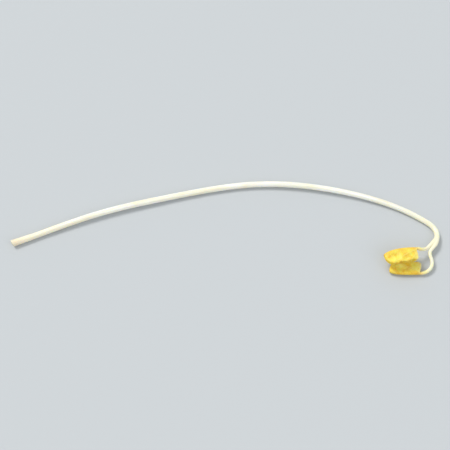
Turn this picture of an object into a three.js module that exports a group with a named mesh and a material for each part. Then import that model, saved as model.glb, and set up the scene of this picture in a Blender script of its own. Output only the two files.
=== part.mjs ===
// A cut buckwheat sprout lying on a flat surface: one white stem and two yellow seed leaves on thin stalks.
// Millimetres, +Z up. The stem runs from its cut end at -X to the leaves at +X and arches towards +Y.
// The origin is under the middle of the sprout, on the surface that it lies on.
import * as THREE from "three";

// ---- Driving dimensions: lengths in millimetres, angles in degrees ----

const STEM = {
  archLength: 107, // from the cut to where the hook starts
  hookLength: 6.5,
  cutHeading: 20, // direction of the cut end in plan, from +X towards +Y
  archTurn: -55,
  archGrowth: 2.1, // over 1 the arch bends more towards the leaves
  sway: 1.8, // the slight waver of the arch
  swaySpacing: 41,
  hookTurn: -98,
  hookLead: 0.3, // the hook's turn starts early, by this share of the hook's length
  cutRadius: 0.86,
  middleRadius: 0.76,
  neckRadius: 0.66,
  neckFrom: 0.5, // share of the arch where the stem starts to thin to its neck
  flareLength: 7, // the thicker stretch at the cut
  cutSlant: 16, // the cut is a little oblique
  forkWidth: 0.9, // half width of the top, where both stalks leave
  forkLength: 2.6,
  lift: 0.35, // how far the stem stands off the surface between its resting points
  liftSpacing: 53.5,
  hookRise: 0.9,
};

const STALK = {
  radius: 0.42,
  spacing: 0.47, // from the stem's axis to each stalk's axis, at the fork
  forkGap: 0.06, // between the stem's end and the stalk's base
  rollFrom: 0.2, // share of the stalk, from the fork, before it starts to roll over
};

const BLADE = {
  halfThickness: 0.16,
  midribHeight: 0.2, // extra half thickness along the midrib, at the stalk
  midribWidth: 0.45,
  squareness: 3, // over 2 the outline is blunter than an ellipse
  fullness: 1.2, // over 1 it is widest past the middle of the blade
  foldRadius: 0.42,
  foldStart: -1.2, // where the fold starts to close, along from the top of the stalk
  flatStart: -0.6, // where the round stalk starts to turn flat
  flatEnd: 0.15,
  tipRounding: 0.5, // how far the outline stays behind the end of the midrib
  tipCurl: 0.5, // how far the very end of the midrib curls in
  tipCurlPower: 8, // the higher, the nearer to the tip the curl starts
  lobeEnd: 0.5, // share of the blade where the lobes end and the tip's rounding starts
  stalkFade: 0.8, // share of the stalk's width that the blade has lost by stalkFadeEnd
  stalkFadeEnd: 0.6,
  edgeSquareness: 4, // over 2 the blade stays thick nearer to its margin
};

// turns: the bends of the stalk and blade in plan, between distances from the fork.
// roll: turns the fold's opening from upwards, at 0, to the left of the leaf, at 90.
// twist: the further roll from the start of the blade to its tip.
// folds: the slope of the left and right half against an open leaf, where 90 is shut.
// flare: how much the halves bend inwards, in degrees per millimetre of width.
// lobe: how far the outline runs back beside the stalk.
// cup: how far the blade's tip bends to the open side of the fold.
// ripple: the height of the margin's waves, with rippleCount of them along the blade.
const LEAVES = {
  upper_seed_leaf: {
    side: -1,
    stalkLength: 4,
    bladeLength: 8,
    halfWidth: 3.7,
    turns: [
      { from: 0.2, to: 4, by: -50 },
      { from: 4, to: 11, by: 8 },
    ],
    bladeHeight: 3.75,
    tipHeight: 3.7,
    roll: 95,
    twist: 8,
    folds: { left: 84, right: 74 },
    flare: -1,
    lobe: 4,
    cup: 0.8,
    ripple: 0.32,
    rippleCount: 1.7,
  },
  lower_seed_leaf: {
    side: 1,
    stalkLength: 8.2,
    bladeLength: 7.2,
    halfWidth: 3.3,
    turns: [
      { from: 0, to: 2.6, by: 66 },
      { from: 1.8, to: 8.4, by: -108 },
      { from: 8, to: 15, by: 4 },
    ],
    bladeHeight: 0.78,
    tipHeight: 0.8,
    roll: -84,
    twist: -4,
    folds: { left: 82, right: 84 },
    flare: -1,
    lobe: 3.8,
    cup: 0.8,
    ripple: 0.2,
    rippleCount: 1.4,
  },
};

// Facets
const STEM_SIDES = 14;
const ARCH_RINGS = 84;
const HOOK_RINGS = 18;
const LEAF_SIDES = 40;
const STALK_RING_SPACING = 0.45;
const BLADE_RINGS = 26;
const WALK_STEP = 0.1;

const STEM_LENGTH = STEM.archLength + STEM.hookLength;
const { clamp, degToRad: rad, lerp: mix, smoothstep: ease } = THREE.MathUtils;

// ---- Spines: the lines that the pieces are grown along ----

// heading(s) is the direction in plan and height(s) the distance above the surface, s millimetres along.
// Gives a function of s: the place there, and the directions along the piece, to its right and up from it.
function spine(start, length, heading, height) {
  const count = Math.ceil(length / WALK_STEP);
  const step = length / count;
  const plan = [start];
  for (let i = 0; i < count; i++) {
    const angle = rad(heading((i + 0.5) * step));
    const stride = new THREE.Vector2(Math.cos(angle), Math.sin(angle)).multiplyScalar(step);
    plan.push(stride.add(plan[i]));
  }
  return (s) => {
    const i = Math.min(Math.floor(s / step), count - 1);
    const at = plan[i].clone().lerp(plan[i + 1], s / step - i);
    const angle = rad(heading(s));
    const slope = (height(s + step) - height(s - step)) / (2 * step);
    const along = new THREE.Vector3(Math.cos(angle), Math.sin(angle), slope).normalize();
    const right = new THREE.Vector3(Math.sin(angle), -Math.cos(angle), 0);
    const up = right.clone().cross(along);
    return { at: new THREE.Vector3(at.x, at.y, height(s)), along, right, up };
  };
}

// A closed bar whose rings are placed by place(ring, right, up): ring counts from 0 along the bar, and right
// and up are the vertex's place in a round section of radius 1.
function bar(sides, rings, place) {
  const geometry = new THREE.CylinderGeometry(1, 1, 1, sides, rings);
  const vertices = geometry.getAttribute("position");
  for (let i = 0; i < vertices.count; i++) {
    const ring = (vertices.getY(i) + 0.5) * rings;
    const { x, y, z } = place(ring, vertices.getX(i), vertices.getZ(i));
    vertices.setXYZ(i, x, y, z);
  }
  geometry.computeVertexNormals();
  return geometry;
}

// ---- Stem ----

function stemRadius(s) {
  const flare = 1 - ease(s, 0, STEM.flareLength);
  const neck = ease(s, STEM.archLength * STEM.neckFrom, STEM_LENGTH);
  return mix(STEM.middleRadius, STEM.neckRadius, neck) + (STEM.cutRadius - STEM.middleRadius) * flare;
}

function stemHeading(s) {
  const arch = Math.min(s / STEM.archLength, 1) ** STEM.archGrowth;
  const hook = ease(s, STEM.archLength - STEM.hookLength * STEM.hookLead, STEM_LENGTH);
  const sway = STEM.sway * Math.sin((2 * Math.PI * s) / STEM.swaySpacing);
  return STEM.cutHeading + STEM.archTurn * arch + sway * (1 - hook) + STEM.hookTurn * hook;
}

function stemHeight(s) {
  const waves = Math.sin((Math.PI * s) / STEM.liftSpacing) ** 2;
  const rise = ease(s, STEM.archLength, STEM_LENGTH);
  return stemRadius(s) + STEM.lift * waves * (1 - rise) + STEM.hookRise * rise;
}

const stemSpine = spine(new THREE.Vector2(0, 0), STEM_LENGTH, stemHeading, stemHeight);

function stem() {
  const slant = Math.tan(rad(STEM.cutSlant));
  return bar(STEM_SIDES, ARCH_RINGS + HOOK_RINGS, (ring, right, up) => {
    const arch = STEM.archLength * (Math.min(ring, ARCH_RINGS) / ARCH_RINGS);
    const hook = STEM.hookLength * (Math.max(ring - ARCH_RINGS, 0) / HOOK_RINGS);
    const s = arch + hook;
    const spot = stemSpine(s);
    const radius = stemRadius(s);
    const halfWidth = mix(radius, STEM.forkWidth, ease(s, STEM_LENGTH - STEM.forkLength, STEM_LENGTH));
    const cut = (1 - ease(s, 0, STEM.cutRadius * 2)) * slant * halfWidth * right;
    return spot.at
      .addScaledVector(spot.right, halfWidth * right)
      .addScaledVector(spot.up, radius * up)
      .addScaledVector(spot.along, cut);
  });
}

// ---- Seed leaves: a round stalk that widens into a folded blade, in one piece ----

function leafSpine(leaf) {
  const length = leaf.stalkLength + leaf.bladeLength;
  const end = stemSpine(STEM_LENGTH);
  const base = end.at
    .clone()
    .addScaledVector(end.along, STALK.forkGap)
    .addScaledVector(end.right, -leaf.side * STALK.spacing);
  const bend = (s) => leaf.turns.reduce((sum, turn) => sum + turn.by * ease(s, turn.from, turn.to), 0);
  const heading = (s) => stemHeading(STEM_LENGTH) + bend(s);
  const stalkRise = (s) => (leaf.bladeHeight - base.z) * ease(s, 0, leaf.stalkLength);
  const bladeRise = (s) => (leaf.tipHeight - leaf.bladeHeight) * ease(s, leaf.stalkLength, length);
  const height = (s) => base.z + stalkRise(s) + bladeRise(s);
  return spine(new THREE.Vector2(base.x, base.y), length, heading, height);
}

// The section of one half of a blade: a round fold at the midrib, then a flank that leaves at the fold's
// slope and bends on by bend degrees per millimetre. Gives the place and slope, across millimetres from the
// midrib.
function foldedLine(across, fold, bend) {
  const round = Math.min(across / BLADE.foldRadius, rad(fold));
  const flank = across - BLADE.foldRadius * round;
  const angle = round + rad(bend) * flank;
  const middle = (round + angle) / 2;
  return {
    out: BLADE.foldRadius * Math.sin(round) + flank * Math.cos(middle),
    rise: BLADE.foldRadius * (1 - Math.cos(round)) + flank * Math.sin(middle),
    angle,
  };
}

function seedLeaf(leaf) {
  const line = leafSpine(leaf);
  const stalkRings = Math.round(leaf.stalkLength / STALK_RING_SPACING);
  return bar(LEAF_SIDES, stalkRings + BLADE_RINGS, (ring, right, up) => {
    // share runs from 0 to 1 along the blade, and past is the distance along from the top of the stalk
    const share = (1 - Math.cos((Math.PI * Math.max(ring - stalkRings, 0)) / BLADE_RINGS)) / 2;
    const past = share * leaf.bladeLength - leaf.stalkLength * Math.max(1 - ring / stalkRings, 0);
    const fuller = Math.abs(2 * share ** BLADE.fullness - 1);
    const outline = leaf.halfWidth * Math.sqrt(1 - fuller ** BLADE.squareness);
    const core = STALK.radius * (1 - BLADE.stalkFade * ease(share, 0, BLADE.stalkFadeEnd));
    const halfWidth = Math.hypot(outline, core);
    const flat = ease(past, BLADE.flatStart, BLADE.flatEnd);

    // The vertices are spaced evenly round the stalk, and evenly across the blade
    const around = Math.hypot(right, up);
    const turned = Math.acos(clamp(right / Math.max(around, 1e-9), -1, 1));
    const across = mix(right, around * (1 - (2 * turned) / Math.PI), flat);
    const width = halfWidth * across;
    const inside = Math.max(around ** BLADE.edgeSquareness - across ** BLADE.edgeSquareness, 0);
    const edge = Math.sign(up) * Math.sqrt(inside);
    const rib = BLADE.midribHeight * Math.exp(-((width / BLADE.midribWidth) ** 2)) * (1 - share);
    const depth = mix(STALK.radius * up, edge * (BLADE.halfThickness + rib), flat);

    const side = width < 0 ? -1 : 1;
    const closing = ease(past, BLADE.foldStart, 0);
    const fold = closing * (width < 0 ? leaf.folds.left : leaf.folds.right);
    const { out, rise, angle } = foldedLine(Math.abs(width), fold, closing * leaf.flare);
    const reach = (width / leaf.halfWidth) ** 2;
    const wave = Math.sin(2 * Math.PI * leaf.rippleCount * share + side);
    const lift = depth + leaf.ripple * reach * wave;
    const lobe = leaf.lobe * flat * (1 - ease(share, 0, BLADE.lobeEnd));
    const sweep = -BLADE.tipRounding * ease(share, BLADE.lobeEnd, 1) - lobe;
    const inturn = leaf.cup * share ** 2 + BLADE.tipCurl * share ** BLADE.tipCurlPower;

    const spot = line(leaf.stalkLength + past);
    const rolled = ease(past, (STALK.rollFrom - 1) * leaf.stalkLength, 0);
    const roll = rad(leaf.roll * rolled + leaf.twist * share);
    const sideways = spot.right.applyAxisAngle(spot.along, -roll);
    const inwards = spot.up.applyAxisAngle(spot.along, -roll);
    return spot.at
      .addScaledVector(sideways, side * (out - lift * Math.sin(angle)))
      .addScaledVector(inwards, rise + inturn + lift * Math.cos(angle))
      .addScaledVector(spot.along, sweep * reach);
  });
}

// ---- The sprout ----

const stemTissue = new THREE.MeshStandardMaterial({ color: 0xf6f2e4, roughness: 0.4, metalness: 0 });
const leafTissue = new THREE.MeshStandardMaterial({ color: 0xf3d13c, roughness: 0.45, metalness: 0 });

function piece(name, geometry, material) {
  const mesh = new THREE.Mesh(geometry, material);
  mesh.name = name;
  return mesh;
}

const sprout = new THREE.Group();
sprout.add(piece("stem", stem(), stemTissue));
for (const [name, leaf] of Object.entries(LEAVES)) {
  sprout.add(piece(name, seedLeaf(leaf), leafTissue));
}

// The origin goes under the middle of the sprout, at the lowest point.
const box = new THREE.Box3().setFromObject(sprout);
const middle = box.getCenter(new THREE.Vector3());
sprout.position.set(-middle.x, -middle.y, -box.min.z);

export default sprout;
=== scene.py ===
"""A cut buckwheat sprout lying on a pale floor: a white stem and two yellow seed leaves on thin stalks."""
import math

import bmesh
import bpy
from mathutils import Matrix, Vector, noise


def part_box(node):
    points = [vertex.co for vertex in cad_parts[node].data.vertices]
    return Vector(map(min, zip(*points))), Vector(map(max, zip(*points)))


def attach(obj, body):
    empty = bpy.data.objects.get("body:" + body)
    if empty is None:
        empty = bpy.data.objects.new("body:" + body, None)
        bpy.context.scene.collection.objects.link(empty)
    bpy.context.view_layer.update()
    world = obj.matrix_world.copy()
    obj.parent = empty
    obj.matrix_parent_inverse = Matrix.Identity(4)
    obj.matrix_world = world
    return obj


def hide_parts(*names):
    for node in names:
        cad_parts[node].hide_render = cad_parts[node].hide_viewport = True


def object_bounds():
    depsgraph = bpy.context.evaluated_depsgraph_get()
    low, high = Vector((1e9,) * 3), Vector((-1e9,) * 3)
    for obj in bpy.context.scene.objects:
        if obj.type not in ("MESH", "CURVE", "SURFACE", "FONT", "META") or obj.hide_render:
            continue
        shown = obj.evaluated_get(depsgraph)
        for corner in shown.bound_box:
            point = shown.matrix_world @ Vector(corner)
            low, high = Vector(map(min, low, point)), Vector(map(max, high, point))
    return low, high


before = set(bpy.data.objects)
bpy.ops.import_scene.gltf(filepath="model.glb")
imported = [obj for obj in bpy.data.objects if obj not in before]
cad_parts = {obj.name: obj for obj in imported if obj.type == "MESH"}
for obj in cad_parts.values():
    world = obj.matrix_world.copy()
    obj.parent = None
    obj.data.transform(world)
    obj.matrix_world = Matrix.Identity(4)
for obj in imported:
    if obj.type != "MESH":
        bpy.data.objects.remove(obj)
cad_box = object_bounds()

# ---- Driving dimensions: lengths in millimetres, angles in degrees, as the frame has them ----

MM = 0.001

ARCH_LENGTH = 107
HOOK_LENGTH = 6.5
STEM_LENGTH = ARCH_LENGTH + HOOK_LENGTH
CUT_HEADING = 20  # direction of the cut end in plan, from +X towards +Y
ARCH_TURN = -55
ARCH_GROWTH = 2.1  # over 1 the arch bends more towards the leaves
SWAY = 1.8  # the slight waver of the arch
SWAY_SPACING = 41
HOOK_TURN = -98
HOOK_LEAD = 0.3  # the hook's turn starts early, by this share of the hook's length
CUT_RADIUS = 0.86
MIDDLE_RADIUS = 0.76
NECK_RADIUS = 0.66
NECK_FROM = 0.5  # share of the arch where the stem starts to thin to its neck
SKIN_FIT = 0.97  # share of the stem's radius that the skin swells and narrows about
FLARE_LENGTH = 7  # the thicker stretch at the cut
CUT_SLANT = 16
CUT_ROUNDING = 0.05
CUT_RINGS = (0.16, 0.12, 0.16, 0.18, 0.16)  # widths of the cut face's rings, from the rim inwards
PITH_DEPTH = 0.09
PITH_SLOPE = (0.85, 0.35)  # shares of the radius between which the pith sinks in
LIFT = 0.35  # how far the stem stands off the surface between its resting points
LIFT_SPACING = 53.5
HOOK_RISE = 0.9
FORK_LENGTH = 3.4  # over which the stem's end parts into two stalks
FORK_MERGE = 1.6  # over which the stalks come out of the stem's skin
FORK_GAP = 0.06
FORK_COVER = 0.05  # how far the stem's skin lies over the stalks before they come out of it
FORK_TUCK = 0.09  # how far it lies under them at its end
FORK_WEB = (0.36, 0.04)  # height of the skin between the stalks, before the fork and at its end

STALK_RADIUS = 0.42
STALK_SPACING = 0.47
STALK_ROLL_FROM = 0.2  # share of the stalk, from the fork, before it starts to roll over
STALK_SUNK = 1.5  # how far each stalk is grown into the stem
STALK_ROOT = 0.65  # share of the stalk's radius that it has at its sunken end
STALK_ROOT_TOP = 0.3  # share of the sunken stretch, from the fork, that has the full radius

BLADE_HALF_THICKNESS = 0.12
MIDRIB_HEIGHT = 0.2  # extra half thickness along the midrib, at the stalk
MIDRIB_WIDTH = 0.4
MIDRIB_INSIDE = 0.35  # share of the midrib's height that shows on the inside of the fold
SQUARENESS = 3  # over 2 the outline is blunter than an ellipse
FULLNESS = 1.2  # over 1 it is widest past the middle of the blade
EDGE_SQUARENESS = 4  # over 2 the blade stays thick nearer to its margin
STALK_FADE = 0.8  # share of the stalk's width that the blade has lost by STALK_FADE_END
STALK_FADE_END = 0.6
FOLD_RADIUS = 0.42
FOLD_START = -1.2  # where the fold starts to close, along from the top of the stalk
FLAT_START = -0.6  # where the round stalk starts to turn flat
FLAT_END = 0.15
LOBE_END = 0.5  # share of the blade where the lobes end and the tip's rounding starts
TIP_ROUNDING = 0.5  # how far the outline stays behind the end of the midrib
TIP_CURL = 0.5  # how far the very end of the midrib curls in
TIP_CURL_POWER = 8
VEIN_ORIGIN = 1.1  # how far below the blade's base the veins fan out from
VEIN_SPREAD = 27  # angle between one vein and the next
SIDE_VEIN_SPACING = 1.5
SIDE_VEIN_SLANT = 1.5  # how far side veins run outwards, in spacings per vein
QUILTING = 0.09
PLEAT = 0.16
CRUMPLE = 0.26
FINE_CRUMPLE = 0.05
MARGIN_FRILL = 0.12
FRILLS_PER_RIPPLE = 2.7
RAGGEDNESS = 0.06  # how far the margin wanders in and out, as a share of the half width

# turns: the bends of the stalk and blade in plan, each with its start, end and angle.
# roll: turns the fold's opening from upwards, at 0, to the left of the leaf, at 90.
# twist: the further roll from the start of the blade to its tip.
# folds: the slope of the left and right half against an open leaf, where 90 is shut.
# flare: how much the halves bend inwards, in degrees per millimetre of width.
# lobe: how far the outline runs back beside the stalk.
# cup: how far the blade's tip bends to the open side of the fold.
LEAVES = {
    "upper_seed_leaf": {
        "side": -1,
        "stalk_length": 4,
        "blade_length": 8,
        "half_width": 3.7,
        "turns": ((0.2, 4, -50), (4, 11, 8)),
        "blade_height": 3.75,
        "tip_height": 3.7,
        "roll": 95,
        "twist": 8,
        "folds": (84, 74),
        "flare": -1,
        "lobe": 4,
        "cup": 0.8,
        "ripple": 0.32,
        "ripple_count": 1.7,
        "seed": 3.1,
    },
    "lower_seed_leaf": {
        "side": 1,
        "stalk_length": 8.2,
        "blade_length": 7.2,
        "half_width": 3.3,
        "turns": ((0, 2.6, 66), (1.8, 8.4, -108), (8, 15, 4)),
        "blade_height": 0.78,
        "tip_height": 0.8,
        "roll": -84,
        "twist": -4,
        "folds": (82, 84),
        "flare": -1,
        "lobe": 3.8,
        "cup": 0.8,
        "ripple": 0.2,
        "ripple_count": 1.4,
        "seed": 8.7,
    },
}

STEM_SIDES = 48
LEAF_SIDES = 120
STALK_RING_SPACING = 0.12
BLADE_RINGS = 110
WALK_STEP = 0.1

# ---- Lines that the pieces are grown along ----


def ease(value, start, end):
    share = min(max((value - start) / (end - start), 0), 1)
    return share * share * (3 - 2 * share)


def mix(a, b, share):
    return a + (b - a) * share


def grown_line(start, length, heading, height):
    """Gives a function of the distance along, for the matrix there: its axes are right, up and along."""
    count = math.ceil(length / WALK_STEP)
    step = length / count
    plan = [Vector(start)]
    for i in range(count):
        angle = math.radians(heading((i + 0.5) * step))
        plan.append(plan[i] + Vector((math.cos(angle), math.sin(angle))) * step)

    def place(distance):
        i = min(max(int(distance / step), 0), count - 1)
        at = plan[i].lerp(plan[i + 1], distance / step - i)
        angle = math.radians(heading(distance))
        slope = (height(distance + step) - height(distance - step)) / (2 * step)
        along = Vector((math.cos(angle), math.sin(angle), slope)).normalized()
        right = Vector((math.sin(angle), -math.cos(angle), 0))
        turn = Matrix((right, right.cross(along), along)).transposed().to_4x4()
        return Matrix.Translation((at.x, at.y, height(distance))) @ turn

    return place


def stem_radius(s):
    flare = 1 - ease(s, 0, FLARE_LENGTH)
    neck = ease(s, ARCH_LENGTH * NECK_FROM, STEM_LENGTH)
    return mix(MIDDLE_RADIUS, NECK_RADIUS, neck) + (CUT_RADIUS - MIDDLE_RADIUS) * flare


def stem_heading(s):
    arch = min(max(s / ARCH_LENGTH, 0), 1) ** ARCH_GROWTH
    hook = ease(s, ARCH_LENGTH - HOOK_LENGTH * HOOK_LEAD, STEM_LENGTH)
    sway = SWAY * math.sin(2 * math.pi * s / SWAY_SPACING)
    return CUT_HEADING + ARCH_TURN * arch + sway * (1 - hook) + HOOK_TURN * hook


def stem_height(s):
    waves = math.sin(math.pi * s / LIFT_SPACING) ** 2
    rise = ease(s, ARCH_LENGTH, STEM_LENGTH)
    return stem_radius(s) + LIFT * waves * (1 - rise) + HOOK_RISE * rise


stem_line = grown_line((0, 0), STEM_LENGTH, stem_heading, stem_height)


def leaf_line(leaf):
    length = leaf["stalk_length"] + leaf["blade_length"]
    beside = Matrix.Translation((-leaf["side"] * STALK_SPACING, 0, FORK_GAP))
    base = (stem_line(STEM_LENGTH) @ beside).translation

    def heading(s):
        return stem_heading(STEM_LENGTH) + sum(by * ease(s, start, end) for start, end, by in leaf["turns"])

    def height(s):
        stalk_rise = (leaf["blade_height"] - base.z) * ease(s, 0, leaf["stalk_length"])
        blade_rise = (leaf["tip_height"] - leaf["blade_height"]) * ease(s, leaf["stalk_length"], length)
        return base.z + stalk_rise + blade_rise

    grown = grown_line(base.xy, length, heading, height)
    return lambda distance: grown(distance) if distance > 0 else stem_line(STEM_LENGTH + distance) @ beside


# ---- Finishes ----


def tint(red, green, blue):
    """A colour from its everyday 0 to 255 values."""
    values = [c / 255 for c in (red, green, blue)]
    return (*[c / 12.92 if c < 0.04045 else ((c + 0.055) / 1.055) ** 2.4 for c in values], 1)


class Finish:
    """A material being put together: each call adds one node and gives its first output."""

    def __init__(self, name):
        self.material = bpy.data.materials.new(name)
        self.material.use_nodes = True
        self.tree = self.material.node_tree
        self.tree.nodes.clear()

    def add(self, kind, sockets=(), **settings):
        made = self.tree.nodes.new(kind)
        for key, value in settings.items():
            setattr(made, key, value)
        for key, value in dict(sockets).items():
            if isinstance(value, bpy.types.NodeSocket):
                self.tree.links.new(value, made.inputs[key])
            else:
                made.inputs[key].default_value = value
        return made

    def mapped(self, name, scale):
        source = self.add("ShaderNodeAttribute", attribute_name=name)
        sockets = {"Vector": source.outputs["Vector"], "Scale": scale}
        return self.add("ShaderNodeMapping", sockets).outputs[0]

    def split(self, name):
        source = self.add("ShaderNodeAttribute", attribute_name=name)
        return self.add("ShaderNodeSeparateXYZ", {0: source.outputs["Vector"]}).outputs

    def cloud(self, vector, scale, detail=2.0, roughness=0.5, distortion=0.0):
        sockets = {"Vector": vector, "Scale": scale, "Detail": detail, "Roughness": roughness}
        return self.add("ShaderNodeTexNoise", {**sockets, "Distortion": distortion}).outputs[0]

    def warped(self, vector, scale, amount):
        swirl = self.add("ShaderNodeTexNoise", {"Vector": vector, "Scale": scale, "Detail": 2.0}).outputs[1]
        sockets = {0: swirl, 1: (amount, amount, amount), 2: vector}
        return self.add("ShaderNodeVectorMath", sockets, operation="MULTIPLY_ADD").outputs[0]

    def math(self, operation, a, b=0.0, c=0.0):
        return self.add("ShaderNodeMath", {0: a, 1: b, 2: c}, operation=operation).outputs[0]

    def band(self, value, start, end, low=0.0, high=1.0):
        """Goes smoothly from low, where value is start, to high, where it is end."""
        sockets = {"Value": value, "From Min": start, "From Max": end, "To Min": low, "To Max": high}
        return self.add("ShaderNodeMapRange", sockets, interpolation_type="SMOOTHSTEP").outputs[0]

    def ramp(self, value, *stops):
        made = self.add("ShaderNodeValToRGB", {0: value})
        elements = made.color_ramp.elements
        while len(elements) < len(stops):
            elements.new(0.5)
        for element, (position, colour) in zip(elements, stops):
            element.position = position
            element.color = tint(*colour)
        return made.outputs[0]

    def blend(self, share, under, over, how="MIX"):
        made = self.add("ShaderNodeMix", data_type="RGBA", blend_type=how)
        for socket, value in ((0, share), (6, under), (7, over)):
            if isinstance(value, bpy.types.NodeSocket):
                self.tree.links.new(value, made.inputs[socket])
            else:
                made.inputs[socket].default_value = tint(*value) if isinstance(value, tuple) else value
        return made.outputs[2]

    def bump(self, height, distance, strength=1.0, under=None):
        sockets = {"Height": height, "Distance": distance, "Strength": strength}
        if under:
            sockets["Normal"] = under
        return self.add("ShaderNodeBump", sockets).outputs[0]

    def surface(self, **sockets):
        named = {key.replace("_", " "): value for key, value in sockets.items()}
        shader = self.add("ShaderNodeBsdfPrincipled", named)
        output = self.add("ShaderNodeOutputMaterial")
        self.tree.links.new(shader.outputs[0], output.inputs[0])
        return self.material


def stem_skin():
    """White, watery skin with faint lengthwise strands, browner at the cut, where the longer beige stretch
    is partly painted shade, and creamier at the neck.
    """
    skin = Finish("white_stem_skin")
    along = skin.split("grain")[2]
    strands = skin.cloud(skin.mapped("grain", (1, 1, 0.04)), 2.6, 3, 0.5)
    threads = skin.cloud(skin.mapped("grain", (1, 1, 0.03)), 8, 2, 0.5)
    clouds = skin.cloud(skin.mapped("grain", (0.4, 0.4, 0.14)), 1.3, 3, 0.55)
    cells = skin.cloud(skin.mapped("grain", (1, 1, 0.3)), 15, 2, 0.5)
    colour = skin.ramp(strands, (0.32, (240, 234, 214)), (0.5, (249, 246, 234)), (0.66, (254, 252, 246)))
    colour = skin.blend(skin.band(clouds, 0.42, 0.7, 0, 0.6), colour, (240, 233, 208))
    colour = skin.blend(skin.band(threads, 0.55, 0.72, 0, 0.4), colour, (230, 220, 190))
    # cream-beige over the last 22 mm towards the cut: partly the skin's own browning, partly painted shade
    colour = skin.blend(skin.band(along, 22, 0.0, 0, 0.4), colour, (240, 224, 184))
    colour = skin.blend(skin.band(along, 4, 0.0, 0, 0.35), colour, (222, 198, 154))
    colour = skin.blend(skin.band(along, 92, 113, 0, 0.55), colour, (245, 237, 190))
    flecks = skin.cloud(skin.mapped("grain", (1, 1, 0.6)), 2.1, 2, 0.6)
    colour = skin.blend(skin.band(flecks, 0.72, 0.78, 0, 0.3), colour, (206, 182, 138))
    relief = skin.math("MULTIPLY_ADD", cells, 0.25, skin.math("MULTIPLY_ADD", threads, 0.4, strands))
    return skin.surface(
        Base_Color=colour,
        Roughness=skin.band(clouds, 0.35, 0.7, 0.26, 0.42),
        Subsurface_Weight=skin.band(along, STEM_LENGTH - 4, STEM_LENGTH - 1.5, 0.75, 0.0),
        Subsurface_Radius=(1, 0.88, 0.62),
        Subsurface_Scale=0.001,
        Coat_Weight=0.2,
        Coat_Roughness=0.15,
        Normal=skin.bump(relief, 0.00008, 0.5),
    )


def cut_flesh():
    """The wet cut: pale pith, a faint ring of vessels and a browned rim."""
    flesh = Finish("cut_stem_flesh")
    right, up, _ = flesh.split("grain")
    out = flesh.math("SQRT", flesh.math("MULTIPLY_ADD", right, right, flesh.math("MULTIPLY", up, up)))
    grains = flesh.cloud(flesh.mapped("grain", (1, 1, 1)), 9, 3, 0.6)
    wavering = flesh.math("MULTIPLY_ADD", grains, 0.3, flesh.math("SUBTRACT", out, 0.15))
    colour = flesh.ramp(
        wavering,
        (0.0, (244, 239, 218)),
        (0.4, (240, 233, 208)),
        (0.54, (226, 211, 170)),
        (0.68, (244, 238, 217)),
        (0.9, (238, 228, 200)),
        (1.0, (206, 178, 130)),
    )
    return flesh.surface(
        Base_Color=colour,
        Roughness=flesh.band(grains, 0.3, 0.7, 0.18, 0.36),
        Subsurface_Weight=0.6,
        Subsurface_Radius=(1, 0.9, 0.7),
        Subsurface_Scale=0.0012,
        Coat_Weight=0.3,
        Coat_Roughness=0.1,
        Normal=flesh.bump(grains, 0.00012, 0.7),
    )


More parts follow.
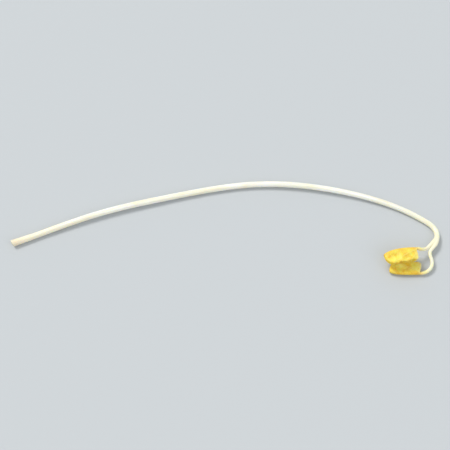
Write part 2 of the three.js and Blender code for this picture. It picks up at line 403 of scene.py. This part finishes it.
def leaf_tissue():
    """Cream stalk turning into a soft yellow blade, with paler veins, a deeper margin and painted shade in
    deeper gold along the fold.
    """
    leaf = Finish("yellow_seed_leaf")
    x, y, margin = leaf.split("spread")
    spread = leaf.mapped("spread", (1, 1, 0))
    across = leaf.math("ABSOLUTE", x)
    from_origin = leaf.math("ADD", y, VEIN_ORIGIN)
    squared = leaf.math("MULTIPLY_ADD", x, x, leaf.math("MULTIPLY", from_origin, from_origin))
    distance = leaf.math("SQRT", squared)
    turn = leaf.math("DIVIDE", leaf.math("ARCTAN2", x, from_origin), math.radians(VEIN_SPREAD))
    wander = leaf.cloud(spread, 0.9, 2, 0.5)
    off_midrib = leaf.band(across, 0.2, 1.6)
    turn = leaf.math("MULTIPLY_ADD", leaf.math("MULTIPLY_ADD", wander, 0.36, -0.18), off_midrib, turn)
    off_vein = leaf.math("PINGPONG", turn, 0.5)
    vein = leaf.band(leaf.math("MULTIPLY", off_vein, distance), 0.3, 0.06)
    steps_out = leaf.math("DIVIDE", distance, SIDE_VEIN_SPACING)
    branching = leaf.math("MULTIPLY_ADD", off_vein, -SIDE_VEIN_SLANT, steps_out)
    branching = leaf.math("MULTIPLY_ADD", wander, 1.2, branching)
    side_vein = leaf.band(leaf.math("PINGPONG", branching, 0.5), 0.09, 0.02)
    loose = leaf.warped(spread, 1.7, 0.35)
    sockets = {"Vector": loose, "Scale": 2.3}
    net = leaf.add("ShaderNodeTexVoronoi", sockets, feature="DISTANCE_TO_EDGE").outputs[0]
    small_vein = leaf.math("MAXIMUM", leaf.math("MULTIPLY", leaf.band(net, 0.14, 0.0), 0.45), side_vein)
    clouds = leaf.cloud(spread, 0.55, 3, 0.55)
    mottle = leaf.cloud(spread, 3.2, 3, 0.6)
    cells = leaf.cloud(spread, 17, 2, 0.5)
    fibres = leaf.cloud(leaf.mapped("grain", (1, 1, 0.08)), 3.5, 3, 0.6)

    blade = leaf.ramp(clouds, (0.36, (240, 180, 28)), (0.5, (252, 214, 60)), (0.63, (253, 234, 104)))
    blade = leaf.blend(leaf.band(mottle, 0.35, 0.7, 0, 0.35), blade, (253, 236, 112))
    # painted shade: deeper gold along the fold, where the two halves shade each other
    blade = leaf.blend(leaf.band(across, 1.1, 0.1, 0, 0.45), blade, (240, 176, 26))
    blade = leaf.blend(leaf.band(margin, 0.7, 0.0, 0, 0.5), blade, (234, 168, 28))
    blade = leaf.blend(leaf.math("MULTIPLY", small_vein, 0.22), blade, (254, 240, 128))
    blade = leaf.blend(leaf.math("MULTIPLY", vein, 0.45), blade, (254, 241, 144))
    scorched = leaf.math("MULTIPLY", leaf.band(margin, 0.3, 0.0), leaf.band(mottle, 0.55, 0.68))
    blade = leaf.blend(leaf.math("MULTIPLY", scorched, 0.5), blade, (176, 112, 32))

    stalk = leaf.ramp(fibres, (0.32, (243, 234, 194)), (0.66, (251, 247, 224)))
    stalk = leaf.blend(leaf.band(y, -3.0, 0.2, 0, 0.75), stalk, (246, 224, 122))
    colour = leaf.blend(leaf.band(y, -1.0, 0.9), stalk, blade)

    on_blade = leaf.band(y, -0.4, 0.6)
    relief = leaf.math("MULTIPLY_ADD", vein, 0.8, leaf.math("MULTIPLY", cells, 0.25))
    relief = leaf.math("MULTIPLY_ADD", small_vein, 0.35, relief)
    relief = leaf.math("MULTIPLY_ADD", mottle, 0.8, relief)
    strands = leaf.math("MULTIPLY", fibres, leaf.math("SUBTRACT", 1.0, on_blade))
    relief = leaf.math("MULTIPLY_ADD", relief, on_blade, leaf.math("MULTIPLY", strands, 0.35))
    return leaf.surface(
        Base_Color=colour,
        Roughness=leaf.band(mottle, 0.3, 0.7, 0.36, 0.52),
        Subsurface_Weight=leaf.band(leaf.split("grain")[2], 0.3, 2.5, 0.0, 0.5),
        Subsurface_Radius=(1, 0.75, 0.25),
        Subsurface_Scale=0.0007,
        Coat_Weight=0.08,
        Coat_Roughness=0.3,
        Normal=leaf.bump(relief, 0.0001, 0.7),
    )


# ---- Meshes ----


def round_bar(sides, rings):
    """A closed round bar of radius 1 along +Y, whose rings stand at whole numbers from 0."""
    bm = bmesh.new()
    lying = Matrix.Rotation(math.radians(-90), 4, "X")
    bmesh.ops.create_cone(bm, cap_ends=True, segments=sides, radius1=1, radius2=1, depth=rings, matrix=lying)
    bmesh.ops.translate(bm, verts=bm.verts, vec=(0, rings / 2, 0))
    lengthwise = [e for e in bm.edges if abs(e.verts[0].co.y - e.verts[1].co.y) > 0.5]
    bmesh.ops.subdivide_edges(bm, edges=lengthwise, cuts=rings - 1)
    return bm


def stations(*stretches):
    """Distances along a piece, from stretches that each have an end and a spacing."""
    places = [0]
    for end, spacing in stretches:
        start = places[-1]
        count = math.ceil((end - start) / spacing)
        places += [mix(start, end, (i + 1) / count) for i in range(count)]
    return places


def finished(bm, name, *materials):
    """The piece's object, put where the frame has the sprout, in metres."""
    bmesh.ops.translate(bm, verts=bm.verts, vec=-home)
    bmesh.ops.scale(bm, verts=bm.verts, vec=(MM, MM, MM))
    for face in bm.faces:
        face.smooth = True
    mesh = bpy.data.meshes.new(name + "_tissue")
    bm.to_mesh(mesh)
    bm.free()
    for material in materials:
        mesh.materials.append(material)
    piece = bpy.data.objects.new(name + "_tissue", mesh)
    bpy.context.scene.collection.objects.link(piece)
    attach(piece, "root")
    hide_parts(name)
    return piece


def pressed(z, floor=0.02, give=0.12):
    """Height of a point that would lie under the surface, flattened softly where it rests."""
    return z if z > floor + give else floor + give * math.exp((z - floor - give) / give)


# ---- Stem ----


def skin_waver(right, up, s):
    """Faint lengthwise ribs and slow swellings of the stem's skin, as a share of its radius."""
    ribs = noise.noise((right * 2.6, up * 2.6, s * 0.05))
    swellings = noise.noise((right * 0.4, up * 0.4, s * 0.22 + 5))
    lumps = noise.noise((right * 1.1, up * 1.1, s * 0.75 + 9))
    return 0.022 * ribs + 0.035 * swellings + 0.014 * lumps


def fork_reach(s, right, up):
    """How far the skin stands from the axis where the stem is already two stalks side by side."""
    merge = ease(s, STEM_LENGTH - FORK_MERGE, STEM_LENGTH)
    lobe = mix(STALK_RADIUS + FORK_COVER, STALK_RADIUS - FORK_TUCK, merge)
    chord = lobe ** 2 - (STALK_SPACING * up) ** 2
    web = mix(*FORK_WEB, merge) ** 2
    return STALK_SPACING * abs(right) + math.sqrt((chord + web + math.hypot(chord - web, 0.02)) / 2)


def stem_point(s, right, up):
    """Where a point of a round section of radius 1 goes on the stem."""
    around = math.hypot(right, up)
    cos, sin = (right / around, up / around) if around > 1e-6 else (1, 0)
    reach = stem_radius(s) * (SKIN_FIT + skin_waver(cos, sin, s))
    parted = ease(s, STEM_LENGTH - FORK_LENGTH, STEM_LENGTH - FORK_MERGE * 0.5)
    reach = around * mix(reach, fork_reach(s, cos, sin), parted)
    slant = (1 - ease(s, 0, CUT_RADIUS * 2)) * math.tan(math.radians(CUT_SLANT)) * reach * cos
    sunk = PITH_DEPTH * ease(around, *PITH_SLOPE) if s == 0 else 0
    point = stem_line(s) @ Vector((reach * cos, reach * sin, slant + sunk))
    point.z = pressed(point.z)
    return point


def grow_stem():
    places = stations((2, 0.12), (STEM_LENGTH - 4, 0.4), (STEM_LENGTH, 0.08))
    bm = round_bar(STEM_SIDES, len(places) - 1)
    caps = [f for f in bm.faces if len(f.verts) > 4]
    caps.sort(key=lambda f: f.calc_center_median().y)
    rim = list(caps[0].edges)
    for thickness in CUT_RINGS:
        bmesh.ops.inset_region(bm, faces=caps[:1], thickness=thickness)
    bmesh.ops.poke(bm, faces=caps)
    grain = bm.verts.layers.float_vector.new("grain")
    for face in bm.faces:
        face.material_index = 1 if all(v.co.y < 0.5 for v in face.verts) else 0
    for v in bm.verts:
        right, ring, up = v.co
        s = places[round(ring)]
        v[grain] = (right, up, s)
        v.co = stem_point(s, right, up)
    bmesh.ops.bevel(bm, geom=rim, offset=CUT_ROUNDING, affect="EDGES", segments=3, profile=0.5, material=-1)
    return finished(bm, "stem", stem_skin(), cut_flesh())


# ---- Seed leaves: a round stalk that widens into a folded blade ----


def folded_line(across, fold, bend):
    """The section of one half of a blade: how far out from the midrib and up, and the slope there."""
    curl = min(across / FOLD_RADIUS, math.radians(fold))
    flank = across - FOLD_RADIUS * curl
    angle = curl + math.radians(bend) * flank
    middle = (curl + angle) / 2
    out = FOLD_RADIUS * math.sin(curl) + flank * math.cos(middle)
    rise = FOLD_RADIUS * (1 - math.cos(curl)) + flank * math.sin(middle)
    return out, rise, angle


def puckers(x, y, seed):
    """How far the blade stands in from its smooth shape: pleated between the veins, and crumpled."""
    distance = math.hypot(x, y + VEIN_ORIGIN)
    turn = math.atan2(x, y + VEIN_ORIGIN) / math.radians(VEIN_SPREAD)
    off_vein = abs(turn - round(turn))
    between = 0.5 - 0.5 * math.cos(2 * math.pi * off_vein)
    branching = distance / SIDE_VEIN_SPACING - off_vein * SIDE_VEIN_SLANT
    quilted = 0.5 - 0.5 * math.cos(2 * math.pi * branching)
    slow = noise.noise((x * 0.42 + seed, y * 0.42, seed))
    quick = noise.noise((x * 1.25, y * 1.25 + seed, seed))
    pleats = between * (PLEAT + QUILTING * quilted) * ease(distance, 1, 3.5)
    return ease(abs(x), 0.15, 1.8) * (pleats + CRUMPLE * slow + FINE_CRUMPLE * quick)


def leaf_point(leaf, line, past, share, right, up):
    """Where a point of a round section of radius 1 goes, and where it is on the leaf spread flat."""
    outline = leaf["half_width"] * (1 - abs(2 * share ** FULLNESS - 1) ** SQUARENESS) ** 0.5
    rooted = ease(leaf["stalk_length"] + past, -STALK_SUNK, -STALK_SUNK * STALK_ROOT_TOP)
    stalk_radius = STALK_RADIUS * mix(STALK_ROOT, 1, rooted)
    half_width = math.hypot(outline, stalk_radius * (1 - STALK_FADE * ease(share, 0, STALK_FADE_END)))
    flat = ease(past, FLAT_START, FLAT_END)

    around = math.hypot(right, up)
    turned = math.acos(min(max(right / max(around, 1e-9), -1), 1))
    across = mix(right, around * (1 - 2 * turned / math.pi), flat)
    half = -1 if across < 0 else 1
    ragged = RAGGEDNESS * noise.noise((share * 7, 3 * half, leaf["seed"])) * abs(across) ** 3
    width = half_width * across * (1 + ragged)
    inside = max(around ** EDGE_SQUARENESS - across ** EDGE_SQUARENESS, 0)
    edge = math.copysign(math.sqrt(inside), up)
    rib = MIDRIB_HEIGHT * math.exp(-((width / MIDRIB_WIDTH) ** 2)) * (1 - share)
    rib *= MIDRIB_INSIDE if up > 0 else 1
    depth = mix(stalk_radius * up, edge * (BLADE_HALF_THICKNESS + rib), flat)

    closing = ease(past, FOLD_START, 0)
    fold = closing * leaf["folds"][0 if half < 0 else 1]
    out, rise, angle = folded_line(abs(width), fold, closing * leaf["flare"])
    reach = (width / leaf["half_width"]) ** 2
    lobe = leaf["lobe"] * flat * (1 - ease(share, 0, LOBE_END))
    sweep = -TIP_ROUNDING * ease(share, LOBE_END, 1) - lobe
    x, y = width, past + sweep * reach
    wave = math.sin(2 * math.pi * leaf["ripple_count"] * share + half)
    frills = FRILLS_PER_RIPPLE * leaf["ripple_count"]
    frill = reach ** 1.5 * math.sin(2 * math.pi * frills * share + leaf["seed"])
    crumpled = puckers(x, y, leaf["seed"]) + MARGIN_FRILL * frill
    lift = depth + leaf["ripple"] * reach * wave + closing * crumpled
    rise += leaf["cup"] * share ** 2 + TIP_CURL * share ** TIP_CURL_POWER

    rolled = ease(past, (STALK_ROLL_FROM - 1) * leaf["stalk_length"], 0)
    roll = Matrix.Rotation(math.radians(leaf["roll"] * rolled + leaf["twist"] * share), 4, "Z")
    section = Vector((half * (out - lift * math.sin(angle)), rise + lift * math.cos(angle), sweep * reach))
    point = line(leaf["stalk_length"] + past) @ roll @ section
    point.z = pressed(point.z)
    return point, (x, y, (1 - abs(across)) * half_width)


def grow_leaf(name, tissue):
    leaf = LEAVES[name]
    stalk = leaf["stalk_length"] + STALK_SUNK
    stalk_rings = round(stalk / STALK_RING_SPACING)
    bm = round_bar(LEAF_SIDES, stalk_rings + BLADE_RINGS)
    bmesh.ops.poke(bm, faces=[f for f in bm.faces if len(f.verts) > 4])
    grain = bm.verts.layers.float_vector.new("grain")
    spread = bm.verts.layers.float_vector.new("spread")
    line = leaf_line(leaf)
    for v in bm.verts:
        right, ring, up = v.co
        share = (1 - math.cos(math.pi * max(ring - stalk_rings, 0) / BLADE_RINGS)) / 2
        past = share * leaf["blade_length"] - stalk * max(1 - ring / stalk_rings, 0)
        v[grain] = (right, up, leaf["stalk_length"] + past)
        v.co, v[spread] = leaf_point(leaf, line, past, share, right, up)
    return finished(bm, name, tissue)


# ---- The sprout, set where the frame has it ----


def place_of_cut():
    """Where the frame's middle is, in millimetres from the middle of the stem's cut."""
    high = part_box("stem")[1] / MM
    ends = [(stem_line(s / 4).translation, stem_radius(s / 4)) for s in range(int(STEM_LENGTH * 4) + 1)]
    return Vector((max(p.x + r for p, r in ends) - high.x, max(p.y + r for p, r in ends) - high.y, 0))


home = place_of_cut()
stem = grow_stem()
tissue = leaf_tissue()
for name in LEAVES:
    grow_leaf(name, tissue)

# ---- Floor, light and camera ----


def lay_floor():
    bm = bmesh.new()
    bmesh.ops.create_grid(bm, x_segments=1, y_segments=1, size=2.2)
    mesh = bpy.data.meshes.new("floor")
    bm.to_mesh(mesh)
    bm.free()
    paper = Finish("pale_floor")
    mesh.materials.append(paper.surface(Base_Color=tint(194, 198, 201), Roughness=0.75))
    floor = bpy.data.objects.new("floor", mesh)
    bpy.context.scene.collection.objects.link(floor)


def hang_light(name, source, softness, strength, colour):
    """A far, soft light that comes from the direction source and is softness degrees wide."""
    data = bpy.data.lights.new(name, "SUN")
    data.angle = math.radians(softness)
    data.energy = strength
    data.color = colour
    light = bpy.data.objects.new(name, data)
    light.rotation_euler = Vector(source).to_track_quat("Z", "Y").to_euler()
    bpy.context.scene.collection.objects.link(light)


def set_camera(elevation, lens, distance, aim):
    data = bpy.data.cameras.new("camera")
    data.lens = lens
    data.clip_start = 0.01
    camera = bpy.data.objects.new("camera", data)
    angle = math.radians(elevation)
    outwards = Vector((0, -math.cos(angle), math.sin(angle)))
    camera.location = aim + outwards * distance
    camera.rotation_euler = outwards.to_track_quat("Z", "Y").to_euler()
    bpy.context.scene.collection.objects.link(camera)
    bpy.context.scene.camera = camera


lay_floor()
hang_light("key", (-0.45, 0.4, 0.8), 20, 1.75, (1, 0.985, 0.95))
hang_light("fill", (0.6, -0.5, 0.6), 50, 0.35, (1, 0.99, 0.97))
world = bpy.data.worlds.new("studio")
world.use_nodes = True
world.node_tree.nodes["Background"].inputs["Color"].default_value = tint(241, 245, 248)
world.node_tree.nodes["Background"].inputs["Strength"].default_value = 0.73
bpy.context.scene.world = world
bpy.context.scene.view_settings.view_transform = "Standard"

lowest, highest = cad_box
set_camera(68, 100, 0.304, (lowest + highest) / 2)
